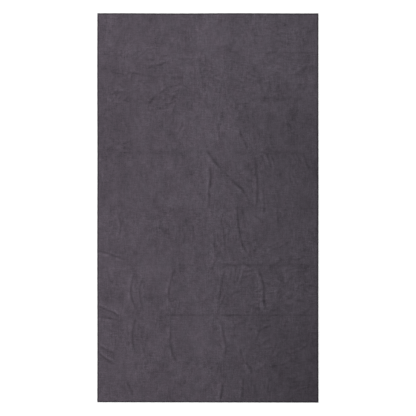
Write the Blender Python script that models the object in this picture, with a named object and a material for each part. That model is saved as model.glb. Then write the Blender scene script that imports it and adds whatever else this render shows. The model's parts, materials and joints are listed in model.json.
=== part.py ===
"""Quick dry travel towel, spread out flat, face up.

One sheet of short-pile microfibre towelling, 850 x 1500 mm, with a narrow
overlocked edge all round and a blank care label on the back.

The sheet has seven crosswise fold creases.  It is split there into eight
panels, panel 1 at the foot (-Y) to panel 8 at the head (+Y), and every crease
is a hinge.  Each crease folds upwards: an end panel turns over onto its
neighbour, the pair turns over onto the next panel, and so on to the middle,
and then the two rolled halves close on each other like a book.

Frame: X across the width, left is -X, Y along the length, Z up.  The origin
is the centre of the underside.  Metres.
"""
import math

import bmesh
import bpy
from mathutils import Vector

# ---------------------------------------------------------------- dimensions
WIDTH = 0.850            # over the overlocked edges
LENGTH = 1.500
HALF_W, HALF_L = WIDTH / 2, LENGTH / 2
CLOTH_T = 0.0016         # relaxed pile to relaxed pile

# Creases, foot to head
CREASE_Y = (-0.600, -0.414, -0.221, -0.003, 0.213, 0.4195, 0.599)
PANELS = len(CREASE_Y) + 1
ROOT_PANEL = 4           # the panel on the foot side of the middle crease
CREASE_GAP = 0.0004      # between two panels, across a crease

# Folding
RELIEF = 0.0011          # how far wrinkles stand up above a flat panel
LAYER_GAP = 0.0003       # air between folded layers
STACKED = {1: 2, 2: 3, 3: 4, 4: 8}   # crease, counted from the nearer end: layers closed

# Overlocked edge
OVERLOCK_W = 0.0040      # how far the looper threads reach in from the edge
THREAD_T = 0.0003        # wrapped layer of looper thread
BIGHT_T = 0.0004         # looper thread round the cut edge
BIGHT_R = 0.00055        # rounding of the wrapped edge
SLOT_PLAY = 0.0001       # between the thread and the cloth it wraps
CORNER_GAP = 0.0002      # from a side edge's end to the foot or head rebate
NEEDLE_R = 0.00014       # needle thread
NEEDLE_IN = 0.0044       # needle thread line, in from the edge
NEEDLE_Z = CLOTH_T - THREAD_T / 2    # level with the top layer of looper thread

# Pressed rim of the cloth, under the threads
REBATE_W = 0.0048        # in from the edge
CUT_EDGE = BIGHT_T + SLOT_PLAY       # cut edge of the cloth, in from the edge
RIM_LOW = THREAD_T + SLOT_PLAY
RIM_HIGH = CLOTH_T - RIM_LOW

# Care label, on the back near the foot end of the left edge
LABEL_REACH = 0.045      # out of the seam
LABEL_W = 0.030          # along the seam
LABEL_T = 0.00014        # one layer of satin ribbon
LABEL_SLIT = 0.00012     # between its two layers
LABEL_X = -HALF_W + REBATE_W + 0.0001    # seam end, just inside the rebate
LABEL_Y = -0.690
LABEL_Z = 0.00004        # its lower face
POCKET_DEPTH = 0.00065   # how far the pile gives way above the label
POCKET_MARGIN = 0.0006   # round the label's free sides
POCKET_OVERLAP = 0.0003  # back from the label's seam end, into the rebate

CLEAR = 0.004            # how far cutters stand out of the cloth

# ------------------------------------------------------------------- scene
for old in list(bpy.data.objects):
    bpy.data.objects.remove(old, do_unlink=True)


def new_collection(name):
    group = bpy.data.collections.new(name)
    bpy.context.scene.collection.children.link(group)
    return group


PARTS = new_collection("quick_dry_towel")
CUTTERS = new_collection("cutters")


# --------------------------------------------------------------- materials
def material(name, colour, roughness, sheen=0.0):
    mat = bpy.data.materials.new(name)
    mat.use_nodes = True
    shader = mat.node_tree.nodes["Principled BSDF"]
    shader.inputs["Base Color"].default_value = (*colour, 1.0)
    shader.inputs["Roughness"].default_value = roughness
    shader.inputs["Metallic"].default_value = 0.0
    shader.inputs["Sheen Weight"].default_value = sheen
    return mat


def towelling(name):
    return material(name, colour=(0.088, 0.078, 0.093), roughness=0.95, sheen=0.3)


def looper_thread(name):
    return material(name, colour=(0.052, 0.046, 0.056), roughness=0.7, sheen=0.1)


def needle_thread(name):
    return material(name, colour=(0.046, 0.041, 0.050), roughness=0.6)


def satin(name):
    return material(name, colour=(0.78, 0.77, 0.75), roughness=0.35)


# ------------------------------------------------------------------- layout
def panel_span(number, end_inset):
    """Lowest and highest Y of a panel: clear of its creases, and drawn in
    by end_inset from the foot or head of the towel."""
    bounds = (-HALF_L, *CREASE_Y, HALF_L)
    low_inset = end_inset if number == 1 else CREASE_GAP / 2
    high_inset = end_inset if number == PANELS else CREASE_GAP / 2
    return bounds[number - 1] + low_inset, bounds[number] - high_inset


def axis_height(crease):
    """Height of a crease's fold axis: half of the stack that closes on it."""
    layers = STACKED[min(crease, PANELS - crease)]
    stack = (layers - 1) * (CLOTH_T + LAYER_GAP) + layers * RELIEF
    return (CLOTH_T + stack) / 2


def build_frames():
    """An empty on every fold axis, chained outwards from the root panel.

    Gives each panel's empty and that empty's place in the world.
    """
    root = bpy.data.objects.new("panel_%d_frame" % ROOT_PANEL, None)
    PARTS.objects.link(root)
    frames = {ROOT_PANEL: (root, Vector((0.0, 0.0, 0.0)))}
    for number in (*range(ROOT_PANEL - 1, 0, -1), *range(ROOT_PANEL + 1, PANELS + 1)):
        inward = number + 1 if number < ROOT_PANEL else number - 1
        crease = min(number, inward)
        parent, parent_at = frames[inward]
        axis_at = Vector((0.0, CREASE_Y[crease - 1], axis_height(crease)))
        empty = bpy.data.objects.new("crease_%d_axis" % crease, None)
        empty.empty_display_type = "SINGLE_ARROW"
        empty.parent = parent
        empty.location = axis_at - parent_at
        PARTS.objects.link(empty)
        frames[number] = (empty, axis_at)
    return frames


FRAMES = build_frames()


def add_part(name, data, mat, panel, at, rotation=(0.0, 0.0, 0.0)):
    """An object hung on a panel's frame, its origin at a place in the world."""
    empty, empty_at = FRAMES[panel]
    obj = bpy.data.objects.new(name, data)
    obj.data.materials.append(mat)
    obj.parent = empty
    obj.location = Vector(at) - empty_at
    obj.rotation_euler = rotation
    PARTS.objects.link(obj)
    return obj


# -------------------------------------------------------------- basic shapes
def box_mesh(name, low, high, about=(0.0, 0.0, 0.0)):
    """A box between two world corners, its coordinates taken from a point."""
    low, high, about = Vector(low), Vector(high), Vector(about)
    bm = bmesh.new()
    bmesh.ops.create_cube(bm, size=1.0)
    bmesh.ops.scale(bm, vec=high - low, verts=bm.verts)
    bmesh.ops.translate(bm, vec=(low + high) / 2 - about, verts=bm.verts)
    mesh = bpy.data.meshes.new(name)
    bm.to_mesh(mesh)
    bm.free()
    return mesh


def arc(centre, radius, start, end, steps):
    """Points along an arc, its angles in degrees."""
    angles = [math.radians(start + (end - start) * i / steps) for i in range(steps + 1)]
    return [(centre[0] + radius * math.cos(angle), centre[1] + radius * math.sin(angle))
            for angle in angles]


def poly_spline(curve, points):
    spline = curve.splines.new("POLY")
    spline.points.add(len(points) - 1)
    for point, place in zip(spline.points, points):
        point.co = (*place, 1.0)
    return spline


def outline_curve(name, outline, length):
    """A closed flat outline with thickness: its own Z is the extrusion."""
    curve = bpy.data.curves.new(name, "CURVE")
    curve.dimensions = "2D"
    curve.fill_mode = "BOTH"
    curve.extrude = length / 2
    poly_spline(curve, [(x, y, 0.0) for x, y in outline]).use_cyclic_u = True
    return curve


def thread_curve(name, reach):
    """A straight round thread from -reach to +reach."""
    curve = bpy.data.curves.new(name, "CURVE")
    curve.dimensions = "3D"
    curve.bevel_depth = NEEDLE_R
    curve.bevel_resolution = 1
    curve.use_fill_caps = True
    poly_spline(curve, [-reach, reach])
    return curve


# ------------------------------------------------------------------- cutters
def cutter(name, low, high):
    obj = bpy.data.objects.new(name, box_mesh(name, low, high))
    obj.display_type = "WIRE"
    obj.hide_render = True
    CUTTERS.objects.link(obj)
    return obj


def rebate_cutters(side, x_range, y_range):
    """The two boxes, above and below, that leave a pressed rim on one side."""
    (x_low, x_high), (y_low, y_high) = x_range, y_range
    return [
        cutter("rebate_%s_top" % side,
               (x_low, y_low, RIM_HIGH), (x_high, y_high, CLOTH_T + CLEAR)),
        cutter("rebate_%s_back" % side,
               (x_low, y_low, -CLEAR), (x_high, y_high, RIM_LOW)),
    ]


def label_pocket_cutter():
    half = LABEL_W / 2 + POCKET_MARGIN
    return cutter(
        "label_pocket",
        (LABEL_X - POCKET_OVERLAP, LABEL_Y - half, -CLEAR),
        (LABEL_X + LABEL_REACH + POCKET_MARGIN, LABEL_Y + half, POCKET_DEPTH),
    )


ALL_X = (-HALF_W - CLEAR, HALF_W + CLEAR)
ALL_Y = (-HALF_L - CLEAR, HALF_L + CLEAR)
SIDE_CUTS = [
    *rebate_cutters("left", (ALL_X[0], -HALF_W + REBATE_W), ALL_Y),
    *rebate_cutters("right", (HALF_W - REBATE_W, ALL_X[1]), ALL_Y),
]
# Further cutters of the two end panels
END_CUTS = {
    1: [*rebate_cutters("foot", ALL_X, (ALL_Y[0], -HALF_L + REBATE_W)),
        label_pocket_cutter()],
    PANELS: rebate_cutters("head", ALL_X, (HALF_L - REBATE_W, ALL_Y[1])),
}


# -------------------------------------------------------------- cloth panels
def build_cloth(panel):
    low, high = panel_span(panel, CUT_EDGE)
    half_width = HALF_W - CUT_EDGE
    at = FRAMES[panel][1]
    name = "cloth_panel_%d" % panel
    mesh = box_mesh(name, (-half_width, low, 0.0), (half_width, high, CLOTH_T), about=at)
    cloth = add_part(name, mesh, towelling("towelling_%d" % panel), panel, at)
    for tool in SIDE_CUTS + END_CUTS.get(panel, []):
        mod = cloth.modifiers.new(tool.name, "BOOLEAN")
        mod.operation = "DIFFERENCE"
        mod.solver = "EXACT"
        mod.object = tool


# ---------------------------------------------------------- overlocked edges
def looper_outline():
    """Section of the looper threads round a left edge: a slot open inwards.

    x is measured inwards from the outer edge and y up from the underside.
    """
    slot_low, slot_high = THREAD_T, CLOTH_T - THREAD_T
    return [
        (OVERLOCK_W, CLOTH_T),
        *arc((BIGHT_R, CLOTH_T - BIGHT_R), BIGHT_R, start=90, end=180, steps=4),
        *arc((BIGHT_R, BIGHT_R), BIGHT_R, start=180, end=270, steps=4),
        (OVERLOCK_W, 0.0),
        (OVERLOCK_W, slot_low),
        (BIGHT_T, slot_low),
        (BIGHT_T, slot_high),
        (OVERLOCK_W, slot_high),
    ]


UPRIGHT = math.pi / 2    # stands an outline up, its y along Z


def build_looper(place, panel, at, turn, length):
    """Looper threads; turn, about Z, points the section inwards."""
    name = "looper_threads_" + place
    section = outline_curve(name, looper_outline(), length)
    add_part(name, section, looper_thread("looper_" + place), panel, at,
             rotation=(UPRIGHT, 0.0, turn))


def build_needle(place, panel, at, reach):
    name = "needle_thread_" + place
    thread = thread_curve(name, Vector(reach))
    add_part(name, thread, needle_thread(name), panel, at)


def build_side_edges(panel):
    """Left and right edges, stopping short of the foot and head edges."""
    low, high = panel_span(panel, REBATE_W + CORNER_GAP)
    middle, length = (low + high) / 2, high - low
    for side, sign, turn in (("left", -1, 0.0), ("right", 1, math.pi)):
        place = "%s_%d" % (side, panel)
        build_looper(place, panel, (sign * HALF_W, middle, 0.0), turn, length)
        build_needle(place, panel, (sign * (HALF_W - NEEDLE_IN), middle, NEEDLE_Z),
                     reach=(0.0, length / 2, 0.0))


def build_end_edge(place, panel, sign):
    """The foot or head edge, across the full width."""
    build_looper(place, panel, (0.0, sign * HALF_L, 0.0), -sign * math.pi / 2, WIDTH)
    build_needle(place, panel, (0.0, sign * (HALF_L - NEEDLE_IN), NEEDLE_Z),
                 reach=(HALF_W - BIGHT_R, 0.0, 0.0))


# ---------------------------------------------------------------- care label
def label_outline():
    """A ribbon folded in two: x out of the seam, y up from its lower face."""
    outer = LABEL_T + LABEL_SLIT / 2     # outer radius of the fold
    centre = (LABEL_REACH - outer, outer)
    return [
        (0.0, 0.0),
        *arc(centre, outer, start=-90, end=90, steps=8),
        (0.0, 2 * outer),
        (0.0, LABEL_T + LABEL_SLIT),
        *arc(centre, LABEL_SLIT / 2, start=90, end=-90, steps=6),
        (0.0, LABEL_T),
    ]


def build_label():
    ribbon = outline_curve("care_label", label_outline(), LABEL_W)
    add_part("care_label", ribbon, satin("label_satin"), 1, (LABEL_X, LABEL_Y, LABEL_Z),
             rotation=(UPRIGHT, 0.0, 0.0))


# --------------------------------------------------------------------- build
for number in range(1, PANELS + 1):
    build_cloth(number)
    build_side_edges(number)
build_end_edge("foot", 1, sign=-1)
build_end_edge("head", PANELS, sign=1)
build_label()
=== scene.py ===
"""A quick dry towel: creased microfibre cloth, overlocked edge threads and a blank care label.

It lies flat on z = 0, its width along x and its length along y. Left is -x, right is +x,
the foot is -y and the head is +y. Seven fold lines run across it, between eight panels.
"""
import json
import math
from collections import namedtuple

import bpy
import numpy as np
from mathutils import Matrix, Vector


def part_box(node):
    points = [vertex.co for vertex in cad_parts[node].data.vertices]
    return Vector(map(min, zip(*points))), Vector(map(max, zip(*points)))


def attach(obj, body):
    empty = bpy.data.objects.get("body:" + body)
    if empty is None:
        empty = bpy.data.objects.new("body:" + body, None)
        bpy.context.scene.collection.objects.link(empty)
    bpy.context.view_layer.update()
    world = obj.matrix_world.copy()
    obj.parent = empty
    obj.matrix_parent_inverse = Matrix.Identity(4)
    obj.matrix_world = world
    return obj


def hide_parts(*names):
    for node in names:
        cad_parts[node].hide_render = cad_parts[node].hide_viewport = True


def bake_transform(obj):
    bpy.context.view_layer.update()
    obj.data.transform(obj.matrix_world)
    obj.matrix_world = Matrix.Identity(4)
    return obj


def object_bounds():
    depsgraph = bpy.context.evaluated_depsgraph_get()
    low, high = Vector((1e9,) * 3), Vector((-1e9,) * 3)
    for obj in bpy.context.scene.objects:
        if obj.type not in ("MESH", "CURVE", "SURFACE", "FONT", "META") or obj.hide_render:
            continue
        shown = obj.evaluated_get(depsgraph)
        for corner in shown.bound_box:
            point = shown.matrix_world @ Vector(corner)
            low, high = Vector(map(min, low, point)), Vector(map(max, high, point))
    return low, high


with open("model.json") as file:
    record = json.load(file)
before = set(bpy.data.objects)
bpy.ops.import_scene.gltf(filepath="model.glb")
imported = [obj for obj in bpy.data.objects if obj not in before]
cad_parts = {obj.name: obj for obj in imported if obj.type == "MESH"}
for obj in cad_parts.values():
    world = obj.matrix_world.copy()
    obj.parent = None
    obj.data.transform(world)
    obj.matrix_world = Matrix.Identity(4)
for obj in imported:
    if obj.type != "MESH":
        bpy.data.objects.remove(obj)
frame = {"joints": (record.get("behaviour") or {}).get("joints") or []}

CAD_BOX = [[float(c) for c in corner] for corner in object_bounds()]

# ------------------------------------------------------------------ layout, from the frame
MM = 0.001
JOINTS = {joint["name"]: joint for joint in frame["joints"]}
CREASES = [JOINTS["crease_%d" % k]["pos_m"] for k in range(1, 8)]
CREASE_Y = [place[1] for place in CREASES]
(LEFT, FOOT), (RIGHT, HEAD) = CAD_BOX[0][:2], CAD_BOX[1][:2]
WIDTH, LENGTH = RIGHT - LEFT, HEAD - FOOT
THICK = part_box("cloth_panel_4")[1].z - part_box("cloth_panel_4")[0].z
LABEL_LO, LABEL_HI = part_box("care_label")
# Creases 3 and 5 turn tighter: they lie nose to nose when all is folded.
TURN = [1.23, 1.23, 1.02, 1.23, 1.02, 1.23, 1.23]
# length of cloth that turns at each crease
ZONE = [0.0013 + turn * (place[2] - THICK / 2) for turn, place in zip(TURN, CREASES)]
# each piece of cloth holds one crease, and pieces meet in the middle of a panel
CUTS = [FOOT] + [(a + b) / 2 for a, b in zip(CREASE_Y, CREASE_Y[1:])] + [HEAD]

RIM = 0.8 * MM              # thickness of the cloth pressed in the seam
NEEDLE_LINE = 3.7 * MM      # in from the edge
HEM = 7.2 * MM              # where the cloth is back to full thickness
CUT_IN = 0.3 * MM           # raw edge of the cloth, inside its threads
STITCH = 2.5 * MM


def smooth(value, start, end):
    """A soft step from 0 at start to 1 at end."""
    value = np.clip((value - start) / (end - start), 0.0, 1.0)
    return value * value * (3 - 2 * value)


def hill(value, middle, reach):
    """A bell of height 1."""
    return np.exp(-((value - middle) / reach) ** 2)


# ------------------------------------------------------------------ smooth noise over the towel
def spline_weights(f):
    """Cubic B-spline weights of four neighbours at the fraction f of a cell."""
    return ((1 - f) ** 3 / 6, (3 * f ** 3 - 6 * f ** 2 + 4) / 6,
            (-3 * f ** 3 + 3 * f ** 2 + 3 * f + 1) / 6, f ** 3 / 6)


def waves(x, y, cell_x, cell_y, seed):
    """Smooth noise, about -1 to 1, with cells of the given size in metres."""
    x, y = np.broadcast_arrays(np.asarray(x, float), np.asarray(y, float))
    nx, ny = int(WIDTH / cell_x) + 9, int(LENGTH / cell_y) + 9
    grid = np.random.default_rng(seed).uniform(-1.0, 1.0, (nx, ny)) * 1.9
    across = np.clip((x - LEFT) / cell_x + 3, 0, nx - 5)
    along = np.clip((y - FOOT) / cell_y + 3, 0, ny - 5)
    i, j = np.floor(across).astype(int), np.floor(along).astype(int)
    weights_x, weights_y = spline_weights(across - i), spline_weights(along - j)
    total = np.zeros(x.shape)
    for a in range(4):
        for b in range(4):
            total += weights_x[a] * weights_y[b] * grid[i + a, j + b]
    return total


# ------------------------------------------------------------------ tables of wrinkles
# A kind of fold: its height and width in mm, and how dark its painted shade is along its steep
# side.
SOFT, PLAIN, SHARP = (0.40, 4.0, 0.15), (0.78, 5.0, 0.175), (1.60, 6.0, 0.27)
# Each fold's kind, and its steep side from end to end as (x, y) in cm.
FOLDS = (
    (SHARP, (-0.5, 22.5), (1, 20), (3, 17.5), (5, 15)),
    (SOFT, (5, 15), (7, 13), (9.5, 10.5)),
    (SHARP, (9, 11), (11, 9), (13.5, 7)),
    (SOFT, (13, 7.5), (14.5, 5), (16, 2)),
    (SHARP, (0.5, 16), (1, 13.5), (1, 10), (0.5, 7)),
    (PLAIN, (0.5, 7.5), (0.5, 4), (0.5, 0)),
    (PLAIN, (18, 20), (18.5, 14.5), (19, 10), (19, 4.5), (18.5, -1)),
    (SOFT, (20.5, 8.5), (21.5, 5.5), (21.5, 2), (22, -2)),
    (SOFT, (20, 21), (21, 19), (22.5, 15)),
    (SOFT, (22, 21.5), (23.5, 18.5), (24.5, 15)),
    (SOFT, (24.5, 20), (25.5, 17.5), (26, 14.5)),
    (SOFT, (32, 21.5), (33.5, 19), (34.5, 17.5)),
    (SOFT, (33.5, 21.5), (35, 19), (36, 16.5)),
    (SOFT, (36.5, 21.5), (37.5, 18.5), (38.5, 15.5)),
    (SOFT, (32.5, 13), (33.5, 11), (34, 9)),
    (SOFT, (31, 14), (31.5, 11.5), (32, 9.5)),
    (SOFT, (7, 58), (6.5, 54), (5.5, 49.5)),
    (SOFT, (11.5, 32), (12.5, 29), (14, 25.5), (15, 22.5)),
    (SOFT, (3.5, 33), (4, 29), (5, 25.5)),
    (PLAIN, (-27.5, -24), (-29, -27.5), (-29.5, -31.5), (-29, -35.5), (-27, -40)),
    (SOFT, (-24.5, -27), (-26, -30), (-26, -34.5), (-25, -39.5)),
    (PLAIN, (-12.5, -23), (-14, -27.5), (-15, -32), (-14.5, -36), (-12.5, -40)),
    (PLAIN, (7, -23), (5.5, -28), (5, -32.5), (3.5, -39)),
    (SOFT, (6.5, -33.5), (5.5, -36.5), (3.5, -40)),
    (PLAIN, (2.5, -17), (3.5, -19.5), (2.5, -21.5), (1.5, -24)),
    (PLAIN, (2.5, -10), (2.5, -14), (3, -17.5)),
    (SOFT, (5, -4.5), (6, -8.5), (6.5, -12.5), (6.5, -18)),
    (PLAIN, (11, 1), (11.5, -4), (12, -8.5), (13, -13), (14.5, -16.5), (16.5, -19)),
    (PLAIN, (13, -21), (15, -22), (17, -23)),
    (SHARP, (19, -23), (20.5, -26.5), (21.5, -30.5), (21.5, -35), (22, -40)),
    (SOFT, (11, -22.5), (10.5, -26), (10, -29.5)),
    (SOFT, (12.5, -22.5), (12, -25.5), (11, -29)),
    (SOFT, (14.5, -22.5), (13.5, -26), (12.5, -30)),
    (SOFT, (9, -23), (9, -25), (8.5, -27.5)),
    (SOFT, (26.5, 0.5), (27, -4), (27, -8)),
    (SOFT, (34, -8), (34, -10), (33.5, -13)),
    (SOFT, (21, 0.5), (21.5, -1), (21.5, -2.5)),
    (SOFT, (17.5, -3), (19.5, -4), (20.5, -5)),
    (PLAIN, (-27.5, -42), (-28.5, -45.5), (-29, -49), (-28.5, -53.5), (-27.5, -57)),
    (PLAIN, (-14, -45), (-14.5, -50), (-14.5, -52), (-13.5, -56.5), (-11.5, -60.5)),
    (PLAIN, (5, -43.5), (6, -48.5), (7, -53.5), (6.5, -57)),
    (SOFT, (-25, -53.5), (-24, -57), (-22.5, -60)),
    (SOFT, (20, -46.5), (19.5, -48.5), (18.5, -51.5)),
    (SOFT, (26.5, -52), (25, -55.5), (23.5, -58.5)),
    (SHARP, (14.5, -59.5), (16, -61.5), (17, -64)),
    (PLAIN, (17.5, -58), (19, -58.5), (20.5, -59.5)),
    (SOFT, (12.5, -54), (13, -57), (14, -59.5)),
    (SHARP, (5.5, -67), (5.5, -70.5), (4.5, -74.5)),
    (PLAIN, (13.5, -65.5), (13.5, -69.5), (13, -74)),
    (SOFT, (21.5, -66.5), (22, -70.5)),
    (SOFT, (18, -68), (18, -72)),
    (PLAIN, (-31, -67), (-30, -69.5), (-28.5, -73)),
    (SOFT, (-34.5, -2.5), (-33.5, -6.5), (-34, -11)),
    (SOFT, (-6, -5.5), (-5.5, -10), (-6.5, -15)),
    (SOFT, (-9.5, -8), (-9, -11), (-9.5, -14)),
)
# Where the seam of the left edge pulls the cloth into short ridges, in cm.
EDGE_PULLS = (
    ((-42.5, -16.5), (-38.5, -17.5), (-34.5, -19), (-31, -20)),
    ((-42.5, -37.5), (-39.5, -39), (-36, -40.5), (-34, -42)),
    ((-42.5, -42), (-38.5, -42.5), (-34.5, -43.5)),
    ((-42, -53), (-39.5, -54.5), (-36, -56)),
    ((-42, -56), (-39.5, -58), (-36, -60)),
)
# Small wrinkles too many to list: how many, ranges of x and y in cm, the way they run and how
# much it varies in degrees, then ranges of height and width in mm and of darkness.
LOOSE = (
    (120, (-40, 40), (-73, 73), 90, 22, (0.10, 0.34), (3.0, 7.0), (0.0, 0.04)),
    (80, (8, 41), (-72, -14), 14, 22, (0.30, 0.60), (3.5, 5.5), (0.09, 0.17)),
    (75, (-38, -4), (36, 62), 14, 22, (0.12, 0.30), (3.0, 5.0), (0.08, 0.18)),
    (60, (2, 41), (38, 73), 2, 10, (0.12, 0.26), (3.5, 5.0), (0.07, 0.13)),
    (30, (-41, -10), (20, 40), 60, 40, (0.12, 0.26), (3.0, 5.0), (0.05, 0.11)),
)
# How the fold lines still show, as painted shade in their valleys and pile pressed flat: crease,
# darkness, width in mm, and the range of x in cm.
PRESSED = (
    (1, 0.05, 6, -30, 20), (2, 0.22, 4, -17, 12), (2, 0.19, 3, 12, 34), (2, 0.22, 3, 34, 42),
    (3, 0.05, 5, -38, -4), (3, 0.16, 6, 4, 18), (3, 0.12, 6, 18, 41), (4, 0.06, 8, -22, -8),
    (4, 0.09, 8, 4, 24), (4, 0.06, 8, 28, 42), (5, 0.11, 6, -34, -7), (5, 0.08, 6, 9, 42),
    (6, 0.07, 10, -36, 1), (6, 0.15, 10, 18, 38), (7, 0.05, 6, -14, 14), (7, 0.11, 4, 19, 42),
)
# Swells of the whole cloth: height in mm, cell across and along in metres, seed.
SWELLS = ((0.17, 0.17, 0.24, 3), (0.10, 0.055, 0.10, 4),
          (0.045, 0.020, 0.034, 5), (0.022, 0.008, 0.014, 6))
REST_HEIGHT = 0.30      # mean height of the cloth off the floor, mm

# ------------------------------------------------------------------ wrinkles as strokes
# lift and dark give height and tone at a signed distance from the line; fade is the share of
# the line over which each end dies away. A stroke without lift only changes the tone.
Stroke = namedtuple("Stroke", "line reach lift dark fade")


def rounded(points, steps=6):
    """A Catmull-Rom curve in metres through points in mm."""
    p = np.array(points, float) * MM
    p = np.vstack([2 * p[0] - p[1], p, 2 * p[-1] - p[-2]])
    out = []
    for i in range(1, len(p) - 2):
        for t in np.arange(steps) / steps:
            out.append(0.5 * (2 * p[i] + (p[i + 1] - p[i - 1]) * t
                              + (2 * p[i - 1] - 5 * p[i] + 4 * p[i + 1] - p[i + 2]) * t ** 2
                              + (3 * p[i] - p[i - 1] - 3 * p[i + 1] + p[i + 2]) * t ** 3))
    out.append(p[-2])
    return np.array(out)


SHADE = np.array([0.94, -0.34])      # across the light, towards the side in shade


def along(line, x, y):
    """Signed distance to a line, positive on its shaded side, and the share of its length."""
    best = np.full(x.shape, 1e9)
    signed, share = np.zeros(x.shape), np.zeros(x.shape)
    steps = np.diff(line, axis=0)
    lengths = np.hypot(steps[:, 0], steps[:, 1])
    starts = np.concatenate([[0], np.cumsum(lengths)[:-1]])
    for corner, step, length, start in zip(line[:-1], steps, lengths, starts):
        from_x, from_y = x - corner[0], y - corner[1]
        t = np.clip((from_x * step[0] + from_y * step[1]) / (length * length), 0, 1)
        off_x, off_y = from_x - t * step[0], from_y - t * step[1]
        distance = np.hypot(off_x, off_y)
        normal_x, normal_y = step[1] / length, -step[0] / length
        if normal_x * SHADE[0] + normal_y * SHADE[1] < 0:
            normal_x, normal_y = -normal_x, -normal_y
        closer = distance < best
        side = np.where(off_x * normal_x + off_y * normal_y >= 0, 1.0, -1.0)
        best = np.where(closer, distance, best)
        signed = np.where(closer, side * distance, signed)
        share = np.where(closer, (start + t * length) / lengths.sum(), share)
    return signed, share


def dark_line_and_lit_band(away, width):
    """Tone across a line: dark along it and lighter beside it, most on the side towards the
    light. On folds this is painted shade on the steep side and a painted highlight on the lit
    side.
    """
    return (hill(away, 0, 0.85 * width) - 0.46 * hill(away, -2.2 * width, 1.2 * width)
            - 0.16 * hill(away, 2.0 * width, 0.9 * width))


def fold_stroke(kind, points):
    """A wrinkle with one steep side."""
    tall, width, tone = kind
    # a fold taller than 1.25 mm is built 1.25 mm tall, and the height past that is painted:
    # light on its lit side and shade on the other
    painted_lean, height, width = max(0.0, tall - 1.25) * MM, min(tall, 1.25) * MM, width * MM

    def rise(away):
        away = away + 0.7 * width
        return hill(away, 0, np.where(away < 0, 1.4 * width, width))

    def lift(away):
        return height * rise(away)

    def dark(away):
        slope = rise(away + 0.5 * MM) - rise(away - 0.5 * MM)
        # painted shade along the fold's steep side and a painted highlight on its lit side; the
        # lean term paints the light and shade of the height past 1.25 mm
        return tone * dark_line_and_lit_band(away, width) - painted_lean * slope / MM

    return Stroke(rounded(points), 5 * width, lift, dark, 0.16)


def pull_stroke(points):
    """A pair of ridges with a dark groove between them: the groove's darkness is painted shade,
    and a painted highlight lies on the second ridge's slope that faces the light.
    """
    width = 6.5 * MM

    def lift(away):
        return 0.95 * MM * (hill(away, -1.5 * width, 1.2 * width)
                            + 0.6 * hill(away, 1.6 * width, 1.2 * width))

    def dark(away):
        # painted shade in the groove and a painted highlight on the second ridge's slope that
        # faces the light
        return (0.30 * hill(away, -0.1 * width, 0.6 * width)
                - 0.24 * hill(away, 1.2 * width, 0.7 * width))

    return Stroke(rounded(points), 5 * width, lift, dark, 0.12)


def rub_stroke(tone, width, points):
    """Pile rubbed the wrong way, with no height."""
    width *= MM
    return Stroke(rounded(points), 3.5 * width, None, lambda away: tone * dark_line_and_lit_band(away, width), 0.3)


def bowed(x, y, turn, half, bow):
    """Three points of a slightly bent line about a middle."""
    dx, dy = math.cos(turn) * half, math.sin(turn) * half
    return (x - dx, y - dy), (x + dy * bow, y - dx * bow), (x + dx, y + dy)


def loose_folds():
    """The small wrinkles of LOOSE as (kind, points in mm)."""
    rng = np.random.default_rng(41)
    out = []
    for number, range_x, range_y, way, way_varies, heights, widths, tones in LOOSE:
        for _ in range(number):
            x, y = 10 * rng.uniform(*range_x), 10 * rng.uniform(*range_y)
            turn = math.radians(rng.normal(way, way_varies))
            half = rng.uniform(10, 32)
            bow = rng.normal(0, 0.14)
            kind = (rng.uniform(*heights), rng.uniform(*widths), rng.uniform(*tones))
            out.append((kind, bowed(x, y, turn, half, bow)))
    return out


def rubs():
    """Short rubbed places, darker or lighter, as (tone, width, points) in mm."""
    rng = np.random.default_rng(77)
    out = []
    for _ in range(60):
        x, y = rng.uniform(-410, 410), rng.uniform(-740, 740)
        turn = rng.normal(0.0, 0.5) if rng.random() < 0.6 else rng.uniform(0, math.pi)
        half = rng.uniform(9, 26)
        bow = rng.normal(0, 0.2)
        tone = rng.choice((0.10, 0.06, -0.07)) * rng.uniform(0.6, 1.2)
        out.append((tone, rng.uniform(7, 13), bowed(x, y, turn, half, -bow)))
    return out


STROKES = ([fold_stroke(kind, 10 * np.array(points)) for kind, *points in FOLDS]
           + [fold_stroke(kind, points) for kind, points in loose_folds()]
           + [pull_stroke(10 * np.array(points)) for points in EDGE_PULLS]
           + [rub_stroke(*rub) for rub in rubs()])


# ------------------------------------------------------------------ form of the cloth
# The next three functions change the given arrays of height and tone in place.
def add_strokes(x, y, height, tone):
    for line, reach, lift, dark, fade in STROKES:
        lo, hi = line.min(0) - reach, line.max(0) + reach
        near = np.nonzero((x > lo[0]) & (x < hi[0]) & (y > lo[1]) & (y < hi[1]))
        if not len(near[0]):
            continue
        px, py = x[near], y[near]
        away, share = along(line, px, py)
        ends = smooth(share, -0.02, fade) * smooth(1 - share, -0.02, fade)
        if lift is not None:
            height[near] += lift(away) * ends * (0.9 + 0.2 * waves(px, py, 0.02, 0.02, seed=12))
            uneven = 0.35 * waves(px, py, 0.011, 0.011, seed=11)
        else:
            uneven = 0.55 * waves(px, py, 0.0065, 0.0065, seed=13)
        tone[near] += dark(away) * ends * (1.0 + uneven)


def add_seam_ripples(x, y, height):
    """Seam tension ripples the four edges a little."""
    for gap, run in ((x - LEFT, y), (RIGHT - x, y), (y - FOOT, x), (HEAD - y, x)):
        ripple = 1 + waves(run * 0.5, 0.0, 0.016, 0.5, seed=21)
        height += 0.16 * MM * np.exp(-gap / (14 * MM)) * ripple


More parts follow.
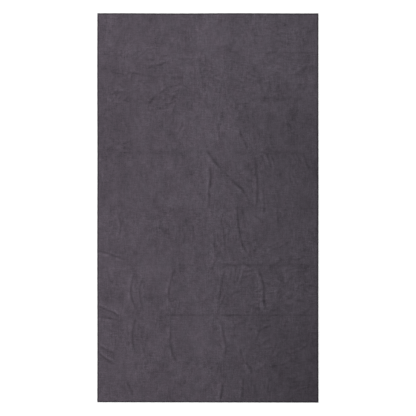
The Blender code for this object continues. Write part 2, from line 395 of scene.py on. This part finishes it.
def add_creases(x, y, height, tone):
    """Opened fold lines: the cloth dips in a narrow valley between two low crowns."""
    for k, crease_y in enumerate(CREASE_Y):
        wander = crease_y + 0.5 * MM * waves(x, crease_y, 0.11, 0.4, seed=31 + k)
        away = np.sqrt((y - wander) ** 2 + (0.9 * MM) ** 2)
        crown = (0.26 + 0.14 * waves(x, crease_y, 0.07, 0.4, seed=51 + k)) * MM
        height *= 1 - 0.62 * hill(away, 0, 9.0 * MM)
        height += crown * (1 - np.exp(-away / (4.5 * MM))) * np.exp(-away / (38 * MM))
        near = np.abs(y - crease_y) < 0.06
        if not near.any():
            continue
        px, py = x[near], y[near]
        for crease, darkness, width, start, end in PRESSED:
            if crease != k + 1:
                continue
            start, end = start * 0.01, end * 0.01
            width = width * MM * (1 + 0.25 * waves(px, py, 0.05, 0.05, seed=61 + k))
            across = smooth(px, start - 0.02, start + 0.03) * smooth(-px, -end - 0.02, 0.03 - end)
            patchy = np.clip(1 + 0.40 * waves(px, py, 0.024, 0.020, seed=71 + k)
                           + 0.25 * waves(px, py, 0.007, 0.007, seed=81 + k), 0.2, 1.8)
            # painted shade in the crease valley, with pile pressed flat there
            tone[near] += darkness * across * patchy * hill(py, wander[near], width)


def painted_falloff(x, y):
    """Painted shade and light of the lamps' broad falloff: darker towards the foot of the right
    edge and along both edges of the upper half, lighter down the middle.
    """
    return (0.05 * x - 0.10 * hill(x, 0.0, 0.08)
            + 0.23 * smooth(x, 0.10, 0.42) * smooth(-y, 0.25, 0.70)
            + 0.16 * hill(x, -0.42, 0.20) * hill(y, 0.30, 0.25)
            + 0.13 * hill(x, 0.42, 0.20) * hill(y, 0.20, 0.22)
            - 0.08 * smooth(x, 0.0, 0.25) * smooth(y, 0.25, 0.60))


def label_print(x, y):
    """1 over the label, which prints through near the foot of the left edge, and 0 off it."""
    return (smooth(x, LABEL_LO.x - 7 * MM, LABEL_LO.x + 1 * MM)
            * smooth(-x, -LABEL_HI.x - 6 * MM, -LABEL_HI.x)
            * smooth(y, LABEL_LO.y - 6 * MM, LABEL_LO.y)
            * smooth(-y, -LABEL_HI.y - 6 * MM, -LABEL_HI.y))


def cloth_form(x, y):
    """(height of the cloth off the floor, its tone: darkness of its pile, with painted shade and
    light of folds, creases and the lamps' falloff) at points of the flat towel.
    """
    x, y = np.asarray(x, float), np.asarray(y, float)
    height = REST_HEIGHT
    for swell, cell_x, cell_y, seed in SWELLS:
        height = height + swell * waves(x, y, cell_x, cell_y, seed)
    height = height * MM
    tone = np.zeros(x.shape)
    add_strokes(x, y, height, tone)
    add_seam_ripples(x, y, height)
    add_creases(x, y, height, tone)
    # painted shade and light: the lamps' broad falloff laid into the tone
    tone += painted_falloff(x, y)
    height = np.maximum(height, 0.12 * MM)
    # heights past the knee are squeezed softly
    knee, room = 0.8 * MM, 0.45 * MM
    height = np.where(height > knee, knee + room * np.tanh((height - knee) / room), height)
    lift = label_print(x, y)
    return height * (1 - 0.6 * lift) + 0.52 * MM * lift, tone


def outline(x, y):
    """The cut is not quite straight: edges stand a millimetre off true and wander a little."""
    side = np.clip((x - LEFT) / WIDTH, 0, 1)
    left = (-1.5 + 0.25 * np.sin(y * 9.0)) * MM
    right = (1.15 + 0.25 * np.sin(y * 7.0 + 1.0)) * MM
    head = (0.45 + 0.35 * np.sin(x * 13.0)) * MM
    foot = (-0.6 - 1.6 * x) * MM
    near_head, near_foot = smooth(y, HEAD - 0.13, HEAD), smooth(-y, -FOOT - 0.13, -FOOT)
    return x + left * (1 - side) + right * side, y + head * near_head + foot * near_foot


def place_points(x, y, level, height):
    """Points of the towel: level is the height above the cloth's middle layer."""
    px, py = outline(x, y)
    return np.stack([px, py, height + THICK / 2 + level], -1)


# ------------------------------------------------------------------ meshes from arrays
def mesh_object(name, points, faces, material, **attributes):
    """faces: arrays of vertex numbers, one array for each face size."""
    mesh = bpy.data.meshes.new(name)
    mesh.vertices.add(len(points))
    mesh.vertices.foreach_set("co", np.ascontiguousarray(points, np.float32).ravel())
    corners = np.concatenate([f.ravel() for f in faces]).astype(np.int32)
    sizes = np.concatenate([np.full(len(f), f.shape[1]) for f in faces])
    starts = np.concatenate([[0], np.cumsum(sizes)[:-1]]).astype(np.int32)
    mesh.loops.add(len(corners))
    mesh.loops.foreach_set("vertex_index", corners)
    mesh.polygons.add(len(sizes))
    mesh.polygons.foreach_set("loop_start", starts)
    mesh.update(calc_edges=True)
    mesh.validate()
    mesh.polygons.foreach_set("use_smooth", np.full(len(sizes), True))
    for key, values in attributes.items():
        kind, field = ("FLOAT", "value") if values.ndim == 1 else ("FLOAT_VECTOR", "vector")
        attribute = mesh.attributes.new(key, kind, "POINT")
        attribute.data.foreach_set(field, np.ascontiguousarray(values, np.float32).ravel())
    mesh.materials.append(material)
    obj = bpy.data.objects.new(name, mesh)
    bpy.context.scene.collection.objects.link(obj)
    return obj


def shell_faces(nx, ny):
    """Quads of two grids of points, one after the other, and of the walls that join them."""
    index = np.arange(nx * ny).reshape(nx, ny)
    a, b, c, d = index[:-1, :-1], index[1:, :-1], index[1:, 1:], index[:-1, 1:]
    first = np.stack([a, b, c, d], -1).reshape(-1, 4)
    second = np.stack([a, d, c, b], -1).reshape(-1, 4) + nx * ny
    ring = np.concatenate([index[:, 0], index[-1, 1:], index[-2::-1, -1], index[0, -2:0:-1]])
    after = np.roll(ring, -1)
    walls = np.stack([ring, ring + nx * ny, after + nx * ny, after], -1)
    return np.vstack([first, second, walls])


def tube(path, radius, sides, turns_per_m, flat=1.0):
    """Points, quads, caps and thread coordinates of a closed thread.

    The first and last points of the path only give the direction of its ends.
    """
    tangent = path[2:] - path[:-2]
    tangent /= np.linalg.norm(tangent, axis=1)[:, None]
    path = path[1:-1]
    side = np.cross(tangent, np.array([0.0, 0.0, 1.0]))
    side /= np.maximum(np.linalg.norm(side, axis=1), 1e-6)[:, None]
    over = np.cross(side, tangent)
    n = len(path)
    angle = np.arange(sides) * 2 * math.pi / sides
    ring = (np.cos(angle)[None, :, None] * side[:, None]
            + np.sin(angle)[None, :, None] * over[:, None] * flat)
    points = (path[:, None] + ring * radius).reshape(-1, 3)
    i = np.arange(n - 1)[:, None] * sides
    j = np.arange(sides)[None]
    k = (j + 1) % sides
    quads = np.stack([i + j, i + sides + j, i + sides + k, i + k], -1).reshape(-1, 4)
    caps = np.array([np.arange(sides), (n - 1) * sides + np.arange(sides)[::-1]])
    run = np.concatenate([[0], np.cumsum(np.linalg.norm(np.diff(path, axis=0), axis=1))])
    coords = np.zeros((n, sides, 3))
    coords[..., 0] = run[:, None]
    coords[..., 1] = (angle / (2 * math.pi))[None] + (run * turns_per_m)[:, None]
    coords[..., 2] = angle[None]
    return points, quads, caps, coords.reshape(-1, 3)


def thread_object(name, tubes, material):
    """One object of several tubes."""
    points, quads, caps, coords = zip(*tubes)
    bases = np.cumsum([0] + [len(p) for p in points[:-1]])
    faces = [np.vstack([f + base for f, base in zip(group, bases)]) for group in (quads, caps)]
    return mesh_object(name, np.vstack(points), faces, material, thread=np.vstack(coords))


# ------------------------------------------------------------------ node materials
def srgb(*channels):
    """Linear RGBA of a colour given as 0 to 255."""
    out = []
    for c in channels:
        c /= 255.0
        out.append(c / 12.92 if c <= 0.04045 else ((c + 0.055) / 1.055) ** 2.4)
    return (*out, 1.0)


class Shader:
    """Adds nodes to a material and links them. Inputs are named with _ for a space."""

    def __init__(self, name):
        self.material = bpy.data.materials.new(name)
        self.material.use_nodes = True
        self.tree = self.material.node_tree

    def put(self, socket, value):
        if isinstance(value, bpy.types.NodeSocket):
            self.tree.links.new(value, socket)
        else:
            socket.default_value = value

    def put_all(self, node, inputs):
        for key, value in inputs.items():
            self.put(node.inputs[key.replace("_", " ")], value)

    def node(self, kind, out=0, settings=None, slots=(), **inputs):
        """A new node's output; slots are inputs given by their order."""
        made = self.tree.nodes.new(kind)
        for key, value in (settings or {}).items():
            setattr(made, key, value)
        for index, value in enumerate(slots):
            self.put(made.inputs[index], value)
        self.put_all(made, inputs)
        return made.outputs[out]

    def math(self, operation, a, b=0.0):
        return self.node("ShaderNodeMath", settings={"operation": operation}, slots=(a, b, 0.0))

    def add(self, total, *values):
        for value in values:
            total = self.math("ADD", total, value)
        return total

    def swing(self, value, amount, middle=0.5):
        """amount times (value - middle)."""
        return self.math("MULTIPLY", self.math("SUBTRACT", value, middle), amount)

    def attribute(self, name, out="Vector"):
        return self.node("ShaderNodeAttribute", out, {"attribute_name": name})

    def scaled(self, vector, x=1.0, y=1.0, z=1.0, shift=(0.0, 0.0, 0.0)):
        return self.node("ShaderNodeMapping", Vector=vector, Scale=(x, y, z), Location=shift)

    def noise(self, vector, scale, detail=2.0, roughness=0.5, distortion=0.0):
        return self.node("ShaderNodeTexNoise", Vector=vector, Scale=scale, Detail=detail,
                         Roughness=roughness, Distortion=distortion)

    def bands(self, vector, direction, **inputs):
        """Output 1 of the wave texture is its grey level."""
        return self.node("ShaderNodeTexWave", 1, {"bands_direction": direction},
                         Vector=vector, **inputs)

    def map_range(self, value, **limits):
        return self.node("ShaderNodeMapRange", Value=value, **limits)

    def scale_colour(self, colour, factor):
        if not isinstance(colour, bpy.types.NodeSocket):
            colour = colour[:3]
        return self.node("ShaderNodeVectorMath", 0, {"operation": "SCALE"}, (colour,),
                         Scale=factor)

    def bump(self, height, strength, distance, **under):
        return self.node("ShaderNodeBump", Height=height, Strength=strength, Distance=distance,
                         **under)

    def finish(self, **inputs):
        self.put_all(self.tree.nodes["Principled BSDF"], inputs)
        return self.material


BASE_WARM = srgb(84.9, 77.4, 86.2)
BASE_COOL = srgb(83.5, 77.7, 86.0)


def towelling():
    """Brushed microfibre: fine lengthwise wales, nap in patches, and the cloth's tone, which
    holds pile pressed in creases and painted shade and light of folds, creases and the lamps'
    falloff.
    """
    s = Shader("towelling")
    at = s.attribute("cloth")
    tone = s.attribute("pressed", "Fac")
    patches = s.noise(s.scaled(at, y=0.62), 17.0, roughness=0.6, distortion=0.3)
    broad = s.noise(s.scaled(at, y=0.8, shift=(2.0, 6.0, 0.0)), 6.5, detail=1.0)
    nap = s.noise(s.scaled(at, y=0.72), 58.0, roughness=0.8, distortion=0.4)
    streaks = s.noise(s.scaled(at, y=0.16, shift=(3.0, 1.0, 0.0)), 170.0, roughness=0.6)
    cross = s.noise(s.scaled(at, x=0.22, shift=(7.0, 5.0, 0.0)), 190.0, detail=1.5, roughness=0.6)
    speckle = s.noise(at, 330.0, detail=1.0, roughness=0.8)
    fine = s.noise(at, 1300.0, roughness=0.6)
    wales = s.bands(at, "X", Scale=250.0, Distortion=1.6, Detail=2.0, Detail_Scale=2.2)
    loops = s.node("ShaderNodeTexVoronoi", 0, {"feature": "F1"}, Vector=s.scaled(at, y=0.8),
                   Scale=900.0)

    # shade: the grain is stronger where the pile is ruffled
    grain = s.add(s.swing(nap, amount=0.66), s.swing(streaks, amount=0.62),
                  s.swing(cross, amount=0.62), s.swing(speckle, amount=1.25))
    ruffled = s.map_range(s.noise(s.scaled(at, y=0.8, shift=(5.0, 9.0, 0.0)), 9.0, roughness=0.6),
                          From_Min=0.35, From_Max=0.65, To_Min=0.75, To_Max=1.25)
    level = s.add(1.0, s.swing(broad, amount=0.24), s.swing(patches, amount=0.58),
                  s.math("MULTIPLY", grain, ruffled), s.swing(fine, amount=0.38),
                  s.swing(wales, amount=0.06), s.swing(loops, amount=-0.34, middle=0.45))
    # the tone darkens or lightens the colour: painted shade and light of folds, creases and the
    # lamps' falloff, and the pile's own marks
    level = s.math("MULTIPLY", level, s.math("SUBTRACT", 1.0, tone))

    # hue: warmer towards the left edge
    hue = s.noise(s.scaled(at, y=0.7, shift=(11.0, 2.0, 0.0)), 30.0, roughness=0.6)
    across = s.node("ShaderNodeSeparateXYZ", "X", Vector=at)
    hue = s.add(hue, s.math("MULTIPLY", across, -0.45))
    hue = s.map_range(hue, From_Min=0.40, From_Max=0.62)
    colour = s.node("ShaderNodeMix", "Result", {"data_type": "RGBA"},
                    Factor=hue, A=BASE_COOL, B=BASE_WARM)
    colour = s.scale_colour(colour, level)

    # relief: the tufts, then the pile on them
    tufts = s.add(s.swing(nap, amount=0.9), s.swing(streaks, amount=0.5),
                  s.swing(speckle, amount=0.5), s.swing(cross, amount=0.25))
    pile = s.add(s.swing(loops, amount=-1.0), s.swing(fine, amount=0.8),
                 s.swing(wales, amount=0.35))
    normal = s.bump(tufts, strength=0.55, distance=0.0005)
    normal = s.bump(pile, strength=0.6, distance=0.0005, Normal=normal)
    rough = s.math("ADD", 0.90, s.swing(nap, amount=0.25))
    return s.finish(Base_Color=colour, Roughness=rough, Normal=normal, Sheen_Weight=0.22,
                    Sheen_Tint=srgb(205, 196, 210), Sheen_Roughness=0.55, Specular_IOR_Level=0.15)


def thread(name, colour, roughness):
    """Twisted polyester thread: plies that spiral, with fibre fuzz."""
    s = Shader(name)
    at = s.attribute("thread")
    turns = s.node("ShaderNodeSeparateXYZ", "Y", Vector=at)
    plies = 3
    ply = s.math("SINE", s.math("MULTIPLY", turns, 2 * math.pi * plies))
    fuzz = s.noise(s.scaled(at, 900.0, 6.0, 1.0), 2.2, roughness=0.6)
    batch = s.noise(s.scaled(at, 60.0, 0.0, 0.0), 1.0, detail=1.0)
    level = s.add(1.0, s.math("MULTIPLY", ply, 0.14), s.swing(fuzz, amount=0.35),
                  s.swing(batch, amount=0.25))
    relief = s.add(s.math("MULTIPLY", ply, 0.5), fuzz)
    normal = s.bump(relief, strength=0.6, distance=0.00008)
    return s.finish(Base_Color=s.scale_colour(colour, level), Roughness=roughness, Normal=normal,
                    Sheen_Weight=0.15, Sheen_Tint=srgb(190, 182, 196), Sheen_Roughness=0.5,
                    Specular_IOR_Level=0.35)


def satin():
    """Blank white satin ribbon."""
    s = Shader("label_satin")
    at = s.attribute("ribbon")
    weft = s.bands(at, "X", Scale=1300.0, Distortion=0.8, Detail=1.0)
    warp = s.bands(at, "Y", Scale=900.0, Distortion=0.5, Detail=1.0)
    age = s.noise(at, 90.0, detail=3.0, roughness=0.6)
    level = s.add(1.0, s.swing(weft, amount=0.05), s.swing(warp, amount=0.05),
                  s.swing(age, amount=0.10))
    relief = s.add(s.math("MULTIPLY", weft, 0.6), s.math("MULTIPLY", warp, 0.4))
    normal = s.bump(relief, strength=0.4, distance=0.00005)
    colour = s.scale_colour(srgb(226, 224, 220), level)
    rough = s.math("ADD", 0.36, s.swing(age, amount=0.15))
    return s.finish(Base_Color=colour, Roughness=rough, Normal=normal, Sheen_Weight=0.1,
                    Sheen_Tint=(1, 1, 1, 1), Sheen_Roughness=0.4, Specular_IOR_Level=0.5)


CLOTH = towelling()
LOOPER = thread("looper_thread", srgb(51, 44, 53), roughness=0.7)
NEEDLE = thread("needle_thread", srgb(50, 45, 53), roughness=0.55)
SATIN = satin()

# ------------------------------------------------------------------ cloth, a piece per crease
# distances in from the raw edge of the first rows of points, and the grid beyond them
RIM_STEPS = np.array([0.0, 0.6, 1.5, 2.6, 3.6, 4.4, 5.2, 6.2, 7.3, 8.5, 10.0, 12.0]) * MM
GRID = 2.6 * MM


def bend_at(obj):
    """Bakes the object's placement into its mesh."""
    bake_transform(obj)


def spread(lo, hi, step):
    return np.linspace(lo, hi, max(2, int(round((hi - lo) / step)) + 1))


def columns():
    left = LEFT + CUT_IN + RIM_STEPS
    right = (RIGHT - CUT_IN - RIM_STEPS)[::-1]
    return np.concatenate([left[:-1], spread(left[-1], right[0], GRID), right[1:]])


def rows(k):
    """Y of each row of piece k, close together where the cloth turns and at a hem."""
    lo, hi, half = CUTS[k - 1], CUTS[k], ZONE[k - 1] / 2
    step = max(0.30 * MM, ZONE[k - 1] / 30)
    low, high = CREASE_Y[k - 1] - half - 1 * MM, CREASE_Y[k - 1] + half + 1 * MM
    turn = spread(low, high, step)
    below, above = [], []
    while step < GRID:
        step *= 1.35
        low, high = low - step, high + step
        below.append(low)
        above.append(high)
    start = lo + CUT_IN + RIM_STEPS if k == 1 else np.array([lo])
    end = (hi - CUT_IN - RIM_STEPS)[::-1] if k == 7 else np.array([hi])
    return np.concatenate([start[:-1], spread(start[-1], below[-1], GRID)[:-1], below[::-1], turn,
                           above, spread(above[-1], end[0], GRID)[1:], end[1:]])


def half_thickness(x, y):
    gap = np.minimum(np.minimum(x - LEFT, RIGHT - x), np.minimum(y - FOOT, HEAD - y))
    return RIM / 2 + (THICK - RIM) / 2 * smooth(gap, NEEDLE_LINE + 0.2 * MM, HEM)


def meeting_normals(x, y):
    """Normals of the top and the underside along a line where two pieces meet."""
    step = 1.2 * MM
    slope_x = (cloth_form(x + step, y)[0] - cloth_form(x - step, y)[0]) / (2 * step)
    slope_y = (cloth_form(x, y + step)[0] - cloth_form(x, y - step)[0]) / (2 * step)
    taper = np.gradient(half_thickness(x, y), x)
    for sign in (1.0, -1.0):
        normal = np.stack([-(slope_x + sign * taper), -slope_y, np.ones(len(x))], -1) * sign
        yield normal / np.linalg.norm(normal, axis=1)[:, None]


def cloth_piece(k):
    xs, ys = columns(), rows(k)
    x, y = np.meshgrid(xs, ys, indexing="ij")
    nx, ny = x.shape
    height, tone = cloth_form(x, y)
    half = half_thickness(x, y)
    # pile squeezed flat in the seam
    tone = tone + 0.30 * (1 - smooth(half, RIM / 2, THICK / 2 - 0.1 * MM))
    top = place_points(x, y, half, height).reshape(-1, 3)
    back = place_points(x, y, -half, height).reshape(-1, 3)
    flat = np.stack([x, y, np.zeros_like(x)], -1).reshape(-1, 3)
    under = flat + np.array([0.37, 0.61, 0.5])      # another part of the texture
    obj = mesh_object("towel_cloth_%d" % k, np.vstack([top, back]), [shell_faces(nx, ny)], CLOTH,
                      cloth=np.vstack([flat, under]),
                      pressed=np.concatenate([tone.ravel(), 0.6 * tone.ravel()]))
    # pieces share their normals where they meet, so that the join doesn't show; a zero normal
    # leaves the others as they are
    normals = np.zeros((2, nx, ny, 3))
    for j, meets in ((0, k > 1), (ny - 1, k < 7)):
        if meets:
            for side, normal in enumerate(meeting_normals(xs, np.full(nx, ys[j]))):
                normals[side, :, j] = normal
    obj.data.normals_split_custom_set_from_vertices(normals.reshape(-1, 3))
    bend_at(obj)
    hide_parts("cloth_panel_%d" % k, *(["cloth_panel_8"] if k == 7 else []))


for number in range(1, 8):
    cloth_piece(number)

# ------------------------------------------------------------------ overlocked edges
LOOPER_R, NEEDLE_R = 0.42 * MM, 0.2 * MM
FLAT = 0.55             # the looper threads are soft and spread flat
CORNER = 4.3 * MM       # side threads stop this far from the corners


def on_edge(edge, run, gap, level):
    """Points given along an edge, in from it, and above the middle of the cloth."""
    x, y = {"left": (LEFT + gap, run), "right": (RIGHT - gap, run),
            "foot": (run, FOOT + gap), "head": (run, HEAD - gap)}[edge]
    height = cloth_form(np.clip(x, LEFT, RIGHT), np.clip(y, FOOT, HEAD))[0]
    return place_points(x, y, level, height)


def stitch_count(edge, run):
    """Stitches up to a point of an edge: on the sides they crowd where the towel folds."""
    count = run / STITCH
    if edge in ("left", "right"):
        for crease_y, zone in zip(CREASE_Y, ZONE):
            reach = zone / 2
            t = np.clip((run - crease_y) / reach, -1.3, 1.3)
            count = count + 0.8 * reach / STITCH * (t + np.sin(np.pi * t / 1.3) * 1.3 / np.pi)
    return count


def looper_path(edge, run, up):
    """Slanted stitches from the needle line to the cut edge and back; up is 1 or -1."""
    count = stitch_count(edge, run)
    phase, stitch = count % 1.0, np.floor(count)
    bend = 0.95
    out = 0.5 - 0.5 * np.arcsin(bend * np.cos(2 * math.pi * phase)) / math.asin(bend)
    out = 1 - np.clip(1 - out, 0.0, 1.0) ** 1.8      # loops run along the cut edge for a while
    uneven = 0.12 * MM * np.sin(stitch * 12.9898 + up * 3.1) * np.sin(math.pi * phase)
    inmost, outmost = NEEDLE_LINE + 0.25 * MM, -0.12 * MM
    gap = inmost + (outmost - inmost) * out + uneven
    level = RIM / 2 + LOOPER_R * FLAT * 0.8
    level = level * (0.12 + 0.88 * smooth(gap, -0.25 * MM, 1.0 * MM)) * up
    return on_edge(edge, run + up * 0.30 * STITCH * out, gap, level)


def needle_path(edge, run):
    """Short straight stitches that dip into the cloth between them."""
    count = stitch_count(edge, run)
    phase = count % 1.0
    from_hole = np.minimum(phase, 1 - phase) * STITCH
    level = RIM / 2 + NEEDLE_R + 0.22 * MM - 0.9 * MM * hill(from_hole, 0, 0.36 * MM)
    gap = NEEDLE_LINE + 0.1 * MM * np.sin(np.floor(count + 0.5) * 7.13)
    return on_edge(edge, run, gap, level)


def runs(edge, lo, hi, per_stitch):
    """Places along a thread, evenly many for every stitch, and one more beyond each end."""
    fine = np.arange(lo - STITCH, hi + STITCH, 0.05 * MM)
    count = stitch_count(edge, fine)
    first, last = np.interp([lo, hi], fine, count)
    n = max(4, int(round((last - first) * per_stitch)))
    return np.interp(first + (last - first) / n * np.arange(-1, n + 2), count, fine)


def edge_threads(edge, lo, hi, label):
    """The threads of an edge as (object, name of its CAD pieces, slot)."""
    run = runs(edge, lo, hi, per_stitch=10)
    loops = [tube(looper_path(edge, run, up), LOOPER_R, sides=6, turns_per_m=300.0, flat=FLAT)
             for up in (1.0, -1.0)]
    loopers = thread_object("looper_%s" % label, loops, LOOPER)
    path = needle_path(edge, runs(edge, lo, hi, per_stitch=8))
    stitches = tube(path, NEEDLE_R, sides=5, turns_per_m=600.0)
    needle = thread_object("needle_stitches_%s" % label, [stitches], NEEDLE)
    return ((loopers, "looper_threads", "looper_thread"),
            (needle, "needle_thread", "needle_thread"))


for number in range(1, 8):
    lo = CUTS[number - 1] + (CORNER if number == 1 else 0.0)
    hi = CUTS[number] - (CORNER if number == 7 else 0.0)
    for edge in ("left", "right"):
        for piece, cad, slot in edge_threads(edge, lo, hi, "%s_%d" % (edge, number)):
            bend_at(piece)
            last = ["%s_%s_8" % (cad, edge)] if number == 7 else []
            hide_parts("%s_%s_%d" % (cad, edge, number), *last)

for edge, body in (("foot", "panel_1"), ("head", "panel_8")):
    for piece, cad, slot in edge_threads(edge, LEFT + 0.3 * MM, RIGHT - 0.3 * MM, edge):
        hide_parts("%s_%s" % (cad, edge))
        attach(piece, body)


# ------------------------------------------------------------------ care label, underneath
def care_label():
    """A ribbon folded in two, its cut ends caught in the left seam."""
    start = LEFT + 1.2 * MM
    reach = LABEL_HI.x - start
    thick, slit = 0.13 * MM, 0.08 * MM
    bend_r = thick + slit / 2
    bend = np.linspace(-math.pi / 2, math.pi / 2, 9)[1:-1]
    straight = np.linspace(0.0, reach - bend_r, 34)
    ys = np.linspace(LABEL_LO.y, LABEL_HI.y, 25)
    shell = []
    for radius in (bend_r, slit / 2):       # the outer face, then the inner one
        run = np.concatenate([straight, reach - bend_r + radius * np.cos(bend), straight[::-1]])
        rise = np.concatenate([np.full(34, bend_r - radius), bend_r + radius * np.sin(bend),
                               np.full(34, bend_r + radius)])
        x, y = np.meshgrid(start + run, ys, indexing="ij")
        sway = 0.03 * MM * np.sin(y * 310 + 1) * np.sin(x * 190)
        z = 0.05 * MM + rise[:, None] + sway
        shell.append(np.stack([x, y, z], -1).reshape(-1, 3))
    points = np.vstack(shell)
    faces = shell_faces(len(run), len(ys))[:, ::-1]
    obj = mesh_object("care_label_ribbon", points, [faces], SATIN, ribbon=points)
    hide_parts("care_label")
    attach(obj, "panel_1")


care_label()


# ------------------------------------------------------------------ floor, light and camera
def floor():
    """A matt floor just below the towel that glows brighter away from it."""
    s = Shader("floor")
    reach = s.node("ShaderNodeVectorMath", "Value", {"operation": "LENGTH"},
                   (s.node("ShaderNodeTexCoord", "Object"),))
    glow = s.map_range(reach, From_Min=0.7, From_Max=2.6, To_Min=0.79, To_Max=1.05)
    s.finish(Base_Color=(0.36, 0.36, 0.36, 1.0), Roughness=0.9, Specular_IOR_Level=0.0,
             Emission_Color=(1.0, 1.0, 1.0, 1.0), Emission_Strength=glow)
    z, half = -0.6 * MM, 30
    mesh = bpy.data.meshes.new("floor")
    corners = [(-half, -half, z), (half, -half, z), (half, half, z), (-half, half, z)]
    mesh.from_pydata(corners, [], [(0, 1, 2, 3)])
    mesh.materials.append(s.material)
    obj = bpy.data.objects.new("floor", mesh)
    bpy.context.scene.collection.objects.link(obj)


def area_light(name, at, aim, size, power):
    data = bpy.data.lights.new(name, "AREA")
    data.shape = "DISK"
    data.size = size
    data.energy = power
    obj = bpy.data.objects.new(name, data)
    obj.location = at
    obj.rotation_mode = "QUATERNION"
    obj.rotation_quaternion = (Vector(aim) - Vector(at)).to_track_quat("-Z", "Y")
    obj.visible_camera = False
    bpy.context.scene.collection.objects.link(obj)


def studio_world(seen, cast):
    """A white world of one strength to the camera and another as light."""
    world = bpy.data.worlds.new("studio")
    bpy.context.scene.world = world
    world.use_nodes = True
    tree = world.node_tree
    background = tree.nodes["Background"]
    rays = tree.nodes.new("ShaderNodeLightPath")
    level = tree.nodes.new("ShaderNodeMapRange")
    level.inputs["To Min"].default_value = cast
    level.inputs["To Max"].default_value = seen
    tree.links.new(rays.outputs["Is Camera Ray"], level.inputs["Value"])
    tree.links.new(level.outputs["Result"], background.inputs["Strength"])
    background.inputs["Color"].default_value = (1.0, 1.0, 1.0, 1.0)


def overhead_camera(view_side, focal=85.0, sensor=36.0):
    """Looks straight down and takes in a square of the given side at the cloth's top."""
    lens = bpy.data.cameras.new("camera")
    lens.lens = focal
    lens.sensor_width = sensor
    lens.clip_end = 100.0
    camera = bpy.data.objects.new("camera", lens)
    bpy.context.scene.collection.objects.link(camera)
    camera.location = (0.0004, -0.0006, THICK + view_side / 2 / (sensor / 2 / focal))
    bpy.context.scene.camera = camera


floor()
area_light("key", at=(-3.73, 0.13, 2.52), aim=(0.0, 0.0, 0.0), size=1.1, power=222.0)
area_light("fill", at=(0.1, 0.9, 0.8), aim=(0.0, 0.1, 0.0), size=0.7, power=1.5)
studio_world(seen=1.0, cast=0.20)
bpy.context.scene.view_settings.view_transform = "Standard"
bpy.context.scene.view_settings.look = "None"
overhead_camera(view_side=1.0698213 * LENGTH)
